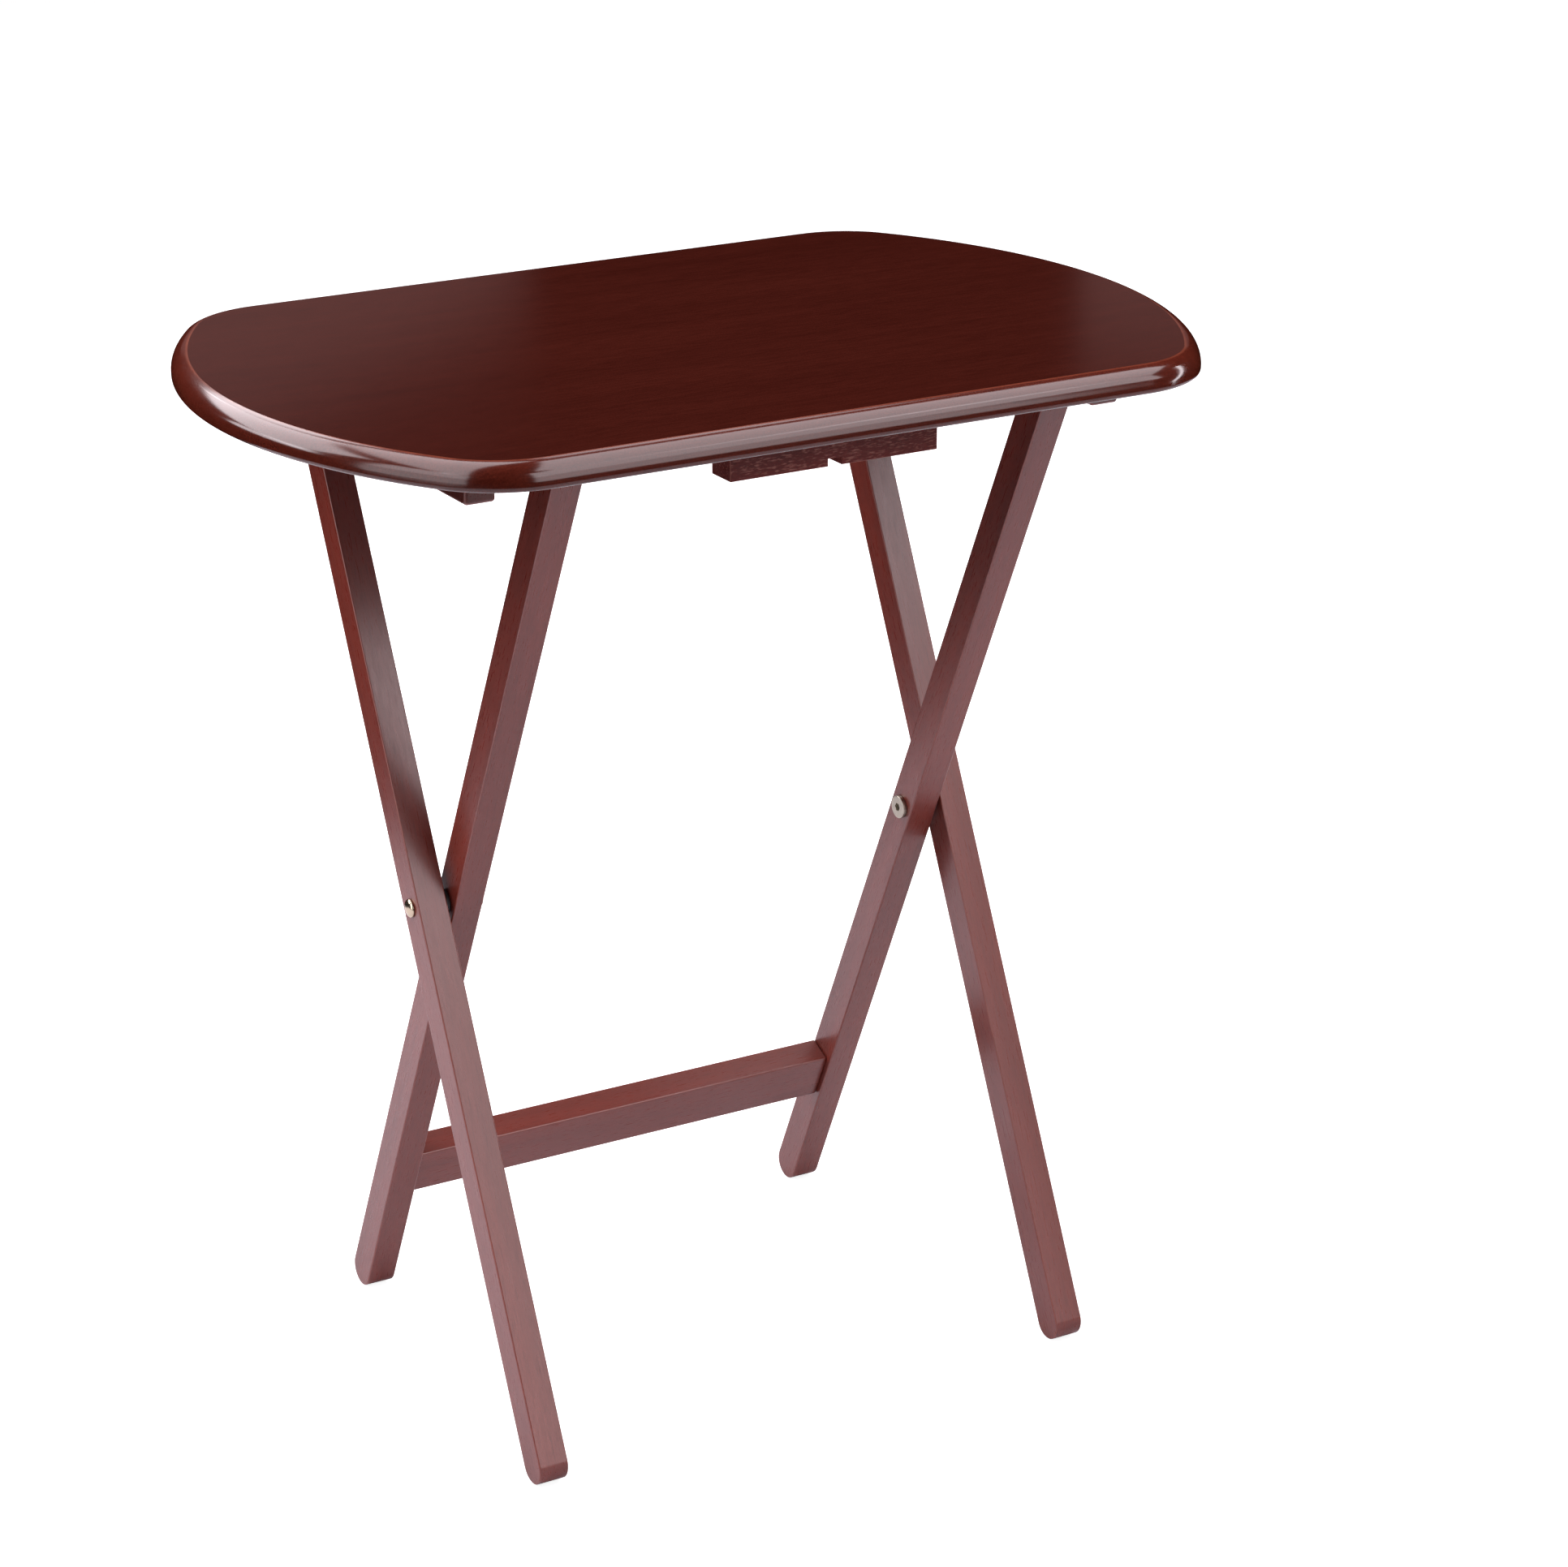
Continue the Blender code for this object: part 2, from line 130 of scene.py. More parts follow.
# Steps along each curve, and points round each turned shape
EASE_STEPS = 4
END_STEPS = 20
CORNER_STEPS = 28
LOWER_EDGE_STEPS = 14
UPPER_EDGE_STEPS = 20
LEG_END_STEPS = 28
DOME_STEPS = 10
TURNED_SIDES = 48
HOLE_SIDES = 32
THREAD_SIDES = 16
STEPS_PER_PITCH = 6

# Angles in degrees from which an edge counts as sharp
SHARP = 30
SHARP_ON_TOP = 9
SHARP_ON_DOME = 40

# Floor and lamps
SURROUND_WHITE = (0.95, 0.95, 0.95)
FLOOR = ((-20.0, 20.0), (-20.0, 20.0))
FLOOR_DROP = 0.002
FLOOR_WHITE = (0.85, 0.85, 0.85)
FLOOR_GLOW = 0.9
SWEEP = ((-1.6, 1.6), (-1.6, 0.88))
SWEEP_DROP = 0.001
SWEEP_WHITE = (0.76, 0.74, 0.78)
LAMP_HEIGHT = 2.2
LAMP_TINT = (1.0, 0.94, 0.98)
PANEL_DISTANCE = 2.4
CARD_TINT = (1.0, 0.60, 0.58)

# Camera: in front to the left, aimed a little beside the table's middle
AIM = Vector((0.0681, 0, 0.3570))
AZIMUTH = math.radians(-30.29)
ELEVATION = math.radians(20.22)
DISTANCE = 2.7239
LENS_MM = 98.00


def joint(name):
    return next(j for j in frame["joints"] if j["name"] == name)


SCISSOR = Vector(joint("leg_fold")["pos_m"])
PIN = Vector(joint("top_lift")["pos_m"])
TILT = math.atan2(PIN.y - SCISSOR.y, PIN.z - SCISSOR.z)
UPPER_ARM = (PIN - SCISSOR).length
LEG_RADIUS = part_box("outer_leg_left")[1].z - PIN.z
LOWER_ARM = (SCISSOR.z - LEG_RADIUS) / math.cos(TILT)
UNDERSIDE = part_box("tabletop")[0].z
TO_UPPER_END = Matrix.Translation((0, 0, UPPER_ARM))


# Meshes


def mesh_of(shape, name):
    bmesh.ops.recalc_face_normals(shape, faces=shape.faces)
    mesh = bpy.data.meshes.new(name)
    shape.to_mesh(mesh)
    shape.free()
    return mesh


def loft(name, rings):
    """A closed mesh through rings of equally many points, capped at both ends."""
    shape = bmesh.new()
    rows = [[shape.verts.new(point) for point in ring] for ring in rings]
    count = len(rings[0])
    for low, high in zip(rows, rows[1:]):
        for i in range(count):
            j = (i + 1) % count
            shape.faces.new((low[i], low[j], high[j], high[i]))
    shape.faces.new(rows[0])
    shape.faces.new(rows[-1])
    return mesh_of(shape, name)


def lathe(name, profile, sides=TURNED_SIDES):
    """Turns (radius, x) points about the X axis; the first and last lie on the axis."""
    shape = bmesh.new()
    start = shape.verts.new((profile[0][1], 0, 0))
    end = shape.verts.new((profile[-1][1], 0, 0))
    rows = []
    for radius, x in profile[1:-1]:
        turns = [2 * math.pi * i / sides for i in range(sides)]
        rows.append([shape.verts.new((x, radius * math.cos(t), radius * math.sin(t))) for t in turns])
    for i in range(sides):
        j = (i + 1) % sides
        shape.faces.new((start, rows[0][i], rows[0][j]))
        shape.faces.new((end, rows[-1][j], rows[-1][i]))
        for low, high in zip(rows, rows[1:]):
            shape.faces.new((low[i], high[i], high[j], low[j]))
    return mesh_of(shape, name)


def quarter(steps):
    """Sine and cosine over a quarter turn."""
    turns = [math.pi / 2 * i / steps for i in range(steps + 1)]
    return [(math.sin(t), math.cos(t)) for t in turns]


def round_box(name, size, radius):
    """A box with its long axis along local X, rounded on every arris."""
    length, width, height = (side / 2 for side in size)
    ends = [(-length + radius * (1 - c), radius * (1 - s)) for s, c in quarter(EASE_STEPS)]
    ends += [(-at, inset) for at, inset in reversed(ends)]
    rings = []
    for at, inset in ends:
        ring = []
        for across, up, turn in ((1, 1, 0), (-1, 1, 1), (-1, -1, 2), (1, -1, 3)):
            for i in range(EASE_STEPS + 1):
                angle = math.pi / 2 * (turn + i / EASE_STEPS)
                reach = max(radius - inset, SMALLEST_REACH)
                y = across * (width - radius) + reach * math.cos(angle)
                z = up * (height - radius) + reach * math.sin(angle)
                ring.append((at, y, z))
        rings.append(ring)
    return loft(name, rings)


def top_outline(inset):
    """The top's outline, moved inwards: curved ends, rounded corners, straight long sides."""
    low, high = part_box("tabletop")
    end = END_RADIUS - inset
    corner = CORNER_RADIUS - inset
    side = (high.y - low.y) / 2 - inset
    end_x = (high.x - low.x) / 2 - END_RADIUS
    corner_y = side - corner
    reach = math.sqrt((end - corner) ** 2 - corner_y**2)
    corner_x = end_x + reach
    meet = math.atan2(corner_y, reach)
    points = []
    for i in range(END_STEPS + 1):
        turn = meet * i / END_STEPS
        points.append((end_x + end * math.cos(turn), end * math.sin(turn)))
    for i in range(1, CORNER_STEPS + 1):
        turn = meet + (math.pi / 2 - meet) * i / CORNER_STEPS
        points.append((corner_x + corner * math.cos(turn), corner_y + corner * math.sin(turn)))
    half = points + [(-x, y) for x, y in reversed(points)]
    return half + [(-x, -y) for x, y in half[1:-1]]


def tabletop_mesh():
    """The top's outline, moved inwards up the lower and the upper rounding."""
    low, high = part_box("tabletop")
    lower = quarter(LOWER_EDGE_STEPS)
    levels = [(LOWER_EDGE * (1 - s), low.z + LOWER_EDGE * (1 - c)) for s, c in lower]
    for i in range(UPPER_EDGE_STEPS + 1):
        turn = math.pi / 2 - (math.pi / 2 - CREASE) * i / UPPER_EDGE_STEPS
        inset = UPPER_EDGE * (1 - math.sin(turn)) / (1 - math.sin(CREASE))
        drop = UPPER_EDGE_DROP * (1 - math.cos(turn) / math.cos(CREASE))
        levels.append((inset, high.z - drop))
    rings = [[(x, y, z) for x, y in top_outline(inset)] for inset, z in levels]
    return loft("tabletop_form", rings)


def leg_mesh(name, thick):
    """A leg along local Z with its scissor pivot at the origin, round at both ends."""
    half = thick / 2
    ease = [(-half + LEG_EASE * (1 - c), LEG_EASE * (1 - s)) for s, c in quarter(EASE_STEPS)]
    rings = []
    for x, inset in ease + [(-x, inset) for x, inset in reversed(ease)]:
        radius = LEG_RADIUS - inset
        ring = []
        for centre, turn in ((UPPER_ARM, 0.0), (-LOWER_ARM, math.pi)):
            for i in range(LEG_END_STEPS + 1):
                angle = turn + math.pi * i / LEG_END_STEPS
                ring.append((x, radius * math.cos(angle), centre + radius * math.sin(angle)))
        rings.append(ring)
    return loft(name, rings)


def rod_profile(radius, half, ease, steps=EASE_STEPS):
    """A rod along X with rounded rims."""
    rim = [(radius - ease * (1 - s), -half + ease * (1 - c)) for s, c in quarter(steps)]
    return [(0, -half)] + rim + [(r, -x) for r, x in reversed(rim)] + [(0, half)]


def screw_thread(length):
    """A wood screw's thread along X from 0: a ridge wound round a core, tapered over its point."""
    steps = STEPS_PER_PITCH * round(length / SCREW_PITCH)
    blunt = 0.08
    rings = []
    for i in range(steps + 1):
        x = length * i / steps
        taper = min(1.0, (length - x) / SCREW_POINT + blunt)
        ring = []
        for j in range(THREAD_SIDES):
            turn = 2 * math.pi * j / THREAD_SIDES
            phase = (x / SCREW_PITCH - j / THREAD_SIDES) % 1.0
            ridge = max(0.0, 1 - 4 * abs(phase - 0.5))
            reach = taper * (SCREW_RADIUS - SCREW_THREAD * (1 - ridge))
            ring.append((x, reach * math.cos(turn), reach * math.sin(turn)))
        rings.append(ring)
    return loft("thread", rings)


def hexagon_bar(name, across, half):
    """A bar along X with six sides, this far across its flats."""
    radius = across / math.sqrt(3)
    turns = [math.pi / 3 * i for i in range(6)]
    corners = [(radius * math.cos(turn), radius * math.sin(turn)) for turn in turns]
    return loft(name, [[(x, y, z) for y, z in corners] for x in (-half, half)])


def block(name, size):
    """A plain box centred on its origin, for cutting."""
    x, y, z = (side / 2 for side in size)
    ring = [(-y, -z), (y, -z), (y, z), (-y, z)]
    return loft(name, [[(at, a, b) for a, b in ring] for at in (-x, x)])


# Placing


def add(name, mesh, place, finish):
    obj = bpy.data.objects.new(name, mesh)
    bpy.context.scene.collection.objects.link(obj)
    obj.matrix_world = place
    mesh.materials.append(finish)
    return obj


def cut(obj, mesh, place, operation="DIFFERENCE"):
    """Changes obj's mesh by this solid, for good."""
    cutter = bpy.data.objects.new("cutter", mesh)
    bpy.context.scene.collection.objects.link(cutter)
    cutter.matrix_world = place
    step = obj.modifiers.new("cut", "BOOLEAN")
    step.object = cutter
    step.operation = operation
    step.solver = "EXACT"
    bpy.context.view_layer.update()
    made = bpy.data.meshes.new_from_object(obj.evaluated_get(bpy.context.evaluated_depsgraph_get()))
    old = obj.data
    obj.modifiers.clear()
    obj.data = made
    made.name = old.name
    bpy.data.objects.remove(cutter)


def drill(obj, place, radius, half):
    """Cuts the hole for a round pin that lies along the X axis of this place."""
    profile = rod_profile(radius + GAP, half, HOLE_EASE, 1)
    cut(obj, lathe("hole", profile, HOLE_SIDES), place)


def show(obj, node, body, angle=SHARP):
    """Shades obj, hides its CAD node, and hangs obj on the empty of its body."""
    obj.data.shade_smooth()
    obj.data.set_sharp_from_angle(angle=math.radians(angle))
    weight = obj.modifiers.new("even_shading", "WEIGHTED_NORMAL")
    weight.keep_sharp = True
    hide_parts(node)
    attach(obj, body)


def turned_about_x(angle, at):
    return Matrix.Translation(at) @ Matrix.Rotation(angle, 4, "X")


def facing(side, at):
    """A frame at a point whose +X faces out to this side of the table."""
    turn = Matrix.Identity(4) if side > 0 else Matrix.Rotation(math.pi, 4, "Z")
    return Matrix.Translation(at) @ turn


def upright(at):
    """A frame at a point whose +X faces up."""
    return Matrix.Translation(at) @ Matrix.Rotation(-math.pi / 2, 4, "Y")


def middle(node):
    low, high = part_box(node)
    return (low + high) / 2


# Materials


class Nodes:
    """Short names for building a material's node tree."""

    # The share, first colour and second colour of a colour mix, and its result
    MIX_INPUTS = (0, 6, 7)
    MIX_OUTPUT = 2

    def __init__(self, name):
        self.material = bpy.data.materials.new(name)
        self.material.use_nodes = True
        self.tree = self.material.node_tree
        self.shader = self.tree.nodes["Principled BSDF"]
        self.where = self.add("ShaderNodeTexCoord")
        self.own = self.add("ShaderNodeObjectInfo")

    def add(self, kind, **settings):
        node = self.tree.nodes.new(kind)
        for key, value in settings.items():
            setattr(node, key, value)
        return node

    def link(self, source, target):
        self.tree.links.new(source, target)

    def math(self, operation, first, second):
        node = self.add("ShaderNodeMath", operation=operation)
        for value, socket in zip((first, second), node.inputs):
            if isinstance(value, float):
                socket.default_value = value
            else:
                self.link(value, socket)
        return node.outputs["Value"]

    def noise(self, scale, stretch, detail=3.0, roughness=0.6, distortion=0.0):
        """Noise in the object's own coordinates, different on every object."""
        place = self.add("ShaderNodeMapping")
        place.inputs["Scale"].default_value = stretch
        self.link(self.where.outputs["Object"], place.inputs["Vector"])
        node = self.add("ShaderNodeTexNoise", noise_dimensions="4D")
        node.inputs["Scale"].default_value = scale
        node.inputs["Detail"].default_value = detail
        node.inputs["Roughness"].default_value = roughness
        node.inputs["Distortion"].default_value = distortion
        self.link(place.outputs["Vector"], node.inputs["Vector"])
        self.link(self.math("MULTIPLY", self.own.outputs["Random"], 50.0), node.inputs["W"])
        return node.outputs["Fac"]

    def ramp(self, value, *stops):
        node = self.add("ShaderNodeValToRGB")
        marks = node.color_ramp.elements
        while len(marks) < len(stops):
            marks.new(0.5)
        for mark, (at, colour) in zip(marks, stops):
            mark.position = at
            mark.color = (*colour, 1)
        self.link(value, node.inputs["Fac"])
        return node.outputs["Color"]

    def span(self, value, low, high, to_low, to_high):
        """The value carried from one range to another and kept inside it."""
        node = self.add("ShaderNodeMapRange")
        ends = {"From Min": low, "From Max": high, "To Min": to_low, "To Max": to_high}
        for key, number in ends.items():
            node.inputs[key].default_value = number
        self.link(value, node.inputs["Value"])
        return node.outputs["Result"]

    def mix(self, first, second, share, blend="MIX"):
        node = self.add("ShaderNodeMix", data_type="RGBA", blend_type=blend)
        for value, number in zip((share, first, second), self.MIX_INPUTS):
            socket = node.inputs[number]
            if isinstance(value, tuple):
                socket.default_value = (*value, 1)
            elif isinstance(value, float):
                socket.default_value = value
            else:
                self.link(value, socket)
        return node.outputs[self.MIX_OUTPUT]

    def mottle(self, colour, value, *stops):
        """The colour multiplied by a ramp of this value."""
        return self.mix(colour, self.ramp(value, *stops), 1.0, "MULTIPLY")

    def arris(self, pairs):
        """About 1 in the middle of each rounded arris and 0 on the flats.

        An arris between an X face and a Y face is the pair XY: the product of the squares of the
        normal's X and Y is greatest there.
        """
        parts = self.add("ShaderNodeSeparateXYZ")
        self.link(self.where.outputs["Normal"], parts.inputs["Vector"])
        squares = {}
        for key in "XYZ":
            squares[key] = self.math("MULTIPLY", parts.outputs[key], parts.outputs[key])
        total = 0.0
        for first, second in pairs:
            product = self.math("MULTIPLY", squares[first], squares[second])
            total = self.math("ADD", total, self.math("MULTIPLY", product, 4.0))
        return total

    def bump(self, value, strength, distance):
        node = self.add("ShaderNodeBump")
        node.inputs["Strength"].default_value = strength
        node.inputs["Distance"].default_value = distance
        self.link(value, node.inputs["Height"])
        self.link(node.outputs["Normal"], self.shader.inputs["Normal"])
        return node.outputs["Normal"]

    def set(self, **values):
        """Constants straight on the shader's own sockets."""
        for key, value in values.items():
            self.shader.inputs[key.replace("_", " ")].default_value = value


EVEN = (1, 1, 1)


def along(axis, stretch):
    """A mapping scale that stretches noise along the grain."""
    return tuple(stretch if name == axis else 1.0 for name in "XYZ")


def grey(level):
    return (level, level, level)


def scaled(colour, factor):
    return tuple(factor * part for part in colour)


def wood(name, axis, colour, worn, edges):
    """Stained wood under satin lacquer: soft figure, fine dashes, cloudy stain and paler arrises."""
    n = Nodes(name)
    figure = n.noise(70, along(axis, 0.05), 4, 0.6, 0.3)
    dashes = n.noise(1400, along(axis, 0.06), 3, 0.65)
    cloud = n.noise(14, along(axis, 0.4), 2, 0.5)
    speckle = n.noise(1600, EVEN, 2, 0.6)
    tone = n.ramp(figure, (0.30, scaled(colour, 0.84)), (0.70, scaled(colour, 1.16)))
    tone = n.mottle(tone, cloud, (0.3, (0.90, 0.88, 0.88)), (0.7, (1.10, 1.10, 1.08)))
    tone = n.mottle(tone, dashes, (0.28, grey(0.70)), (0.46, grey(1.0)), (0.72, (1.12, 1.14, 1.14)))
    tone = n.mottle(tone, speckle, (0.3, grey(0.94)), (0.7, grey(1.06)))
    patchiness = n.span(n.noise(60, along(axis, 0.25)), 0.35, 0.65, 0.35, 1.0)
    rub = n.math("MINIMUM", n.math("MULTIPLY", n.arris(edges), patchiness), 0.9)
    n.link(n.mix(tone, worn, rub), n.shader.inputs["Base Color"])
    n.link(n.span(dashes, 0.3, 0.7, 0.36, 0.25), n.shader.inputs["Roughness"])
    n.bump(n.math("ADD", dashes, n.math("MULTIPLY", speckle, 0.3)), 0.10, 0.0002)
    n.set(IOR=1.5, Coat_Weight=0.25, Coat_Roughness=0.20)
    return n.material


def open_grain(name, axis, colour, dash):
    """Coarse wood with short open pores, painted as pale dashes that also hold the light they reflect,
    and a painted highlight along every arris.
    """
    n = Nodes(name)
    pores = n.noise(1150, along(axis, 0.20), 2, 0.6, 0.1)
    fine = n.noise(2200, along(axis, 0.25), 2, 0.6)
    cloud = n.noise(30, along(axis, 0.4), 2)
    tone = n.ramp(cloud, (0.3, scaled(colour, 0.80)), (0.7, scaled(colour, 1.2)))
    tone = n.mottle(tone, fine, (0.35, (0.75, 0.72, 0.72)), (0.65, grey(1.2)))
    # The open pores: real grain, painted pale with a painted reflection of the light in them.
    tone = n.mix(tone, dash, n.span(pores, 0.52, 0.66, 0.0, 0.8))
    # Pale along every arris: a painted highlight.
    edge = n.math("MINIMUM", n.arris(("XY", "YZ", "XZ")), 0.8)
    n.link(n.mix(tone, dash, edge), n.shader.inputs["Base Color"])
    n.link(n.span(pores, 0.4, 0.65, 0.55, 0.38), n.shader.inputs["Roughness"])
    n.bump(pores, 0.35, 0.0003)
    n.set(IOR=1.5, Specular_IOR_Level=0.16)
    return n.material


def lacquer(name, flat, edge, line):
    """The top: even dark stain, thinner over the rounded edge, a paler line along the crease, clear
    gloss lacquer.
    """
    n = Nodes(name)
    grain = n.noise(60, along("X", 0.06), 4, 0.55, 0.4)
    dashes = n.noise(800, along("X", 0.08), 3, 0.6)
    cloud = n.noise(7, along("X", 0.5), 2, 0.5)
    speckle = n.noise(1100, EVEN, 2, 0.6)
    ripple = n.noise(220, EVEN, 2, 0.5)
    parts = n.add("ShaderNodeSeparateXYZ")
    n.link(n.where.outputs["Normal"], parts.inputs["Vector"])
    up = parts.outputs["Z"]
    tone = n.mix(flat, edge, n.span(up, 0.999, 0.975, 0.0, 1.0))
    tone = n.mottle(tone, grain, (0.32, (0.92, 0.90, 0.90)), (0.68, (1.08, 1.09, 1.09)))
    tone = n.mottle(tone, cloud, (0.3, (0.93, 0.90, 0.90)), (0.7, (1.07, 1.08, 1.08)))
    tone = n.mottle(tone, dashes, (0.3, (0.80, 0.76, 0.76)), (0.6, (1.10, 1.12, 1.12)))
    tone = n.mottle(tone, speckle, (0.3, grey(0.80)), (0.7, grey(1.20)))
    # A thin paler line along the crease, broken up with the grain.
    rise = n.span(up, 0.996, 0.985, 0.0, 1.0)
    fall = n.span(up, 0.950, 0.972, 0.0, 1.0)
    patchiness = n.span(grain, 0.35, 0.6, 0.4, 0.9)
    crease = n.math("MULTIPLY", n.math("MULTIPLY", rise, fall), patchiness)
    n.link(n.mix(tone, line, crease), n.shader.inputs["Base Color"])
    n.link(n.span(dashes, 0.3, 0.7, 0.46, 0.38), n.shader.inputs["Roughness"])
    n.link(n.bump(ripple, 0.006, 0.0004), n.shader.inputs["Coat Normal"])
    n.set(IOR=1.5, Specular_IOR_Level=0.0, Coat_Weight=1.0, Coat_Roughness=0.14, Coat_IOR=1.5)
    return n.material


def metal(name, colour, roughness):
    """Plated metal with faint scuffs and pits."""
    n = Nodes(name)
    scuff = n.noise(900, along("X", 0.3), 4)
    pits = n.noise(2500, EVEN, 2)
    n.link(n.ramp(scuff, (0.3, scaled(colour, 0.86)), (0.7, colour)), n.shader.inputs["Base Color"])
    n.link(n.span(scuff, 0.3, 0.7, roughness, roughness + 0.1), n.shader.inputs["Roughness"])
    n.bump(n.math("ADD", scuff, pits), 0.05, 0.00005)
    n.set(Metallic=1.0)
    return n.material


def nylon(name, dark, light):
    """Dull moulded plastic."""
    n = Nodes(name)
    grain = n.noise(1500, EVEN, 2)
    n.link(n.ramp(grain, (0.3, dark), (0.7, light)), n.shader.inputs["Base Color"])
    n.link(n.span(grain, 0.3, 0.7, 0.42, 0.55), n.shader.inputs["Roughness"])
    n.bump(grain, 0.08, 0.00005)
    return n.material


TOP_STAIN = (0.036, 0.0058, 0.0036)
TOP_EDGE_STAIN = (0.070, 0.0115, 0.0064)
# The colour of the paler line along the top's crease.
TOP_CREASE_LINE_COLOUR = (0.150, 0.0360, 0.0200)
FRAME_STAIN = (0.152, 0.0255, 0.0165)
FRAME_WORN = (0.240, 0.0560, 0.0380)
# The cleats' colour: the legs' stain darkened to 0.6, as painted shade for the shade that falls on them
# under the top.
CLEAT_STAIN_WITH_PAINTED_SHADE = scaled(FRAME_STAIN, 0.6)
BLOCK_STAIN = (0.105, 0.0120, 0.0090)
# The pale colour of the block's pores, with their painted reflection, and of its painted arris
# highlights.
BLOCK_PORE_AND_EDGE_HIGHLIGHT = (0.280, 0.1050, 0.0800)

LACQUER = lacquer("lacquered_top", TOP_STAIN, TOP_EDGE_STAIN, TOP_CREASE_LINE_COLOUR)
LEG_WOOD = wood("stained_leg", "Z", FRAME_STAIN, FRAME_WORN, ("XY", "XZ"))
BAR_WOOD = wood("stained_bar", "X", FRAME_STAIN, FRAME_WORN, ("YZ",))
# The cleats' material carries that painted shade.
CLEAT_WOOD = wood("stained_cleat", "Y", CLEAT_STAIN_WITH_PAINTED_SHADE, FRAME_WORN, ("XZ", "XY", "YZ"))
BLOCK_WOOD = open_grain("stained_block", "X", BLOCK_STAIN, BLOCK_PORE_AND_EDGE_HIGHLIGHT)
NUT_NICKEL = metal("warm_nickel", (0.58, 0.49, 0.36), 0.16)
BOLT_NICKEL = metal("satin_nickel", (0.46, 0.43, 0.355), 0.26)
SCREW_ZINC = metal("zinc_steel", (0.60, 0.59, 0.56), 0.30)
SPACER_NYLON = nylon("dark_nylon", (0.012, 0.011, 0.012), (0.024, 0.022, 0.023))


# Pieces


def build_top():
    top = add("top_board", tabletop_mesh(), Matrix.Identity(4), LACQUER)
    show(top, "tabletop", "top", SHARP_ON_TOP)


def leg_place(lean, across):
    """The scissor pivot of a leg with its middle this far across, leaning with that leg."""
    return turned_about_x(lean, Vector((across, SCISSOR.y, SCISSOR.z)))


def stretcher_place():
    """The stretcher's middle, leaning with the inner legs."""
    return turned_about_x(TILT, Vector((0, middle("lower_stretcher").y, middle("lower_stretcher").z)))


def build_leg(kind, lean, label):
    """A leg with the bore of its scissor pivot, and its place and thickness."""
    node = f"{kind}_leg_{label}"
    low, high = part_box(node)
    thick = high.x - low.x
    place = leg_place(lean, middle(node).x)
    leg = add(node + "_wood", leg_mesh(node + "_form", thick), place, LEG_WOOD)
    drill(leg, place, BARREL_RADIUS, thick)
    return leg, place, thick


def build_outer_leg(label):
    """An outer leg, bored for its top pin too."""
    leg, place, thick = build_leg("outer", -TILT, label)
    drill(leg, place @ TO_UPPER_END, BARREL_RADIUS, thick)
    show(leg, f"outer_leg_{label}", "outer_frame")


def build_inner_leg(label, side):
    """An inner leg, with a seat for the dowel and a mortise for the stretcher's tenon."""
    leg, place, thick = build_leg("inner", TILT, label)
    inner_face = Matrix.Translation((-side * thick / 2, 0, 0))
    drill(leg, place @ TO_UPPER_END @ inner_face, DOWEL_RADIUS, DOWEL_SEAT + GAP)
    mortise = (2 * (TENON[0] + GAP), TENON[1] + 2 * GAP, TENON[2] + 2 * GAP)
    across = Matrix.Translation((middle(f"inner_leg_{label}").x, 0, 0))
    cut(leg, block("mortise", mortise), stretcher_place() @ across @ inner_face)
    show(leg, f"inner_leg_{label}", "inner_frame")


def build_legs():
    for label, side in SIDES:
        build_outer_leg(label)
        build_inner_leg(label, side)


def build_stretcher():
    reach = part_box("inner_leg_right")[0].x
    place = stretcher_place()
    form = round_box("stretcher_form", (2 * (reach - GAP), *STRETCHER_SIZE), STRETCHER_EASE)
    bar = add("stretcher_bar", form, place, BAR_WOOD)
    tenons = block("tenons", (2 * (reach + TENON[0]), *TENON[1:]))
    cut(bar, tenons, place, "UNION")
    show(bar, "lower_stretcher", "inner_frame")


def build_dowel():
    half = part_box("inner_leg_right")[0].x + DOWEL_SEAT
    form = lathe("dowel_form", rod_profile(DOWEL_RADIUS, half, DOWEL_EASE))
    rod = add("dowel_rod", form, leg_place(TILT, 0) @ TO_UPPER_END, BAR_WOOD)
    show(rod, "upper_dowel", "inner_frame")


def screw_clearance(obj, node, underside):
    """Cuts the shank's hole and the countersink for the screw of this name."""
    at = middle(node)
    height = UNDERSIDE - underside
    wide = SCREW_HEAD_RADIUS + GAP
    shank = SCREW_RADIUS + GAP
    profile = [(0, -height), (wide, -height), (wide, SCREW_HEAD_RIM + GAP)]
    profile += [(shank, SCREW_HEAD_HEIGHT + GAP), (shank, 2 * height), (0, 2 * height)]
    cut(obj, lathe("clearance", profile, HOLE_SIDES), upright(Vector((at.x, at.y, underside))))


def build_cleats():
    for label, _ in SIDES:
        node = f"cleat_{label}"
        low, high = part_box(node)
        size = high - low
        form = round_box(node + "_form", (size.y, size.x, size.z), CLEAT_ROUND)
        form.transform(Matrix.Rotation(math.pi / 2, 4, "Z"))
        cleat = add(node + "_wood", form, Matrix.Translation(middle(node)), CLEAT_WOOD)
        pin = Matrix.Translation((middle(node).x, PIN.y, PIN.z))
        drill(cleat, pin, BARREL_RADIUS, size.x)
        for number in (1, 2, 3):
            screw_clearance(cleat, f"cleat_screw_{label}_{number}", low.z)
        show(cleat, node, "top")


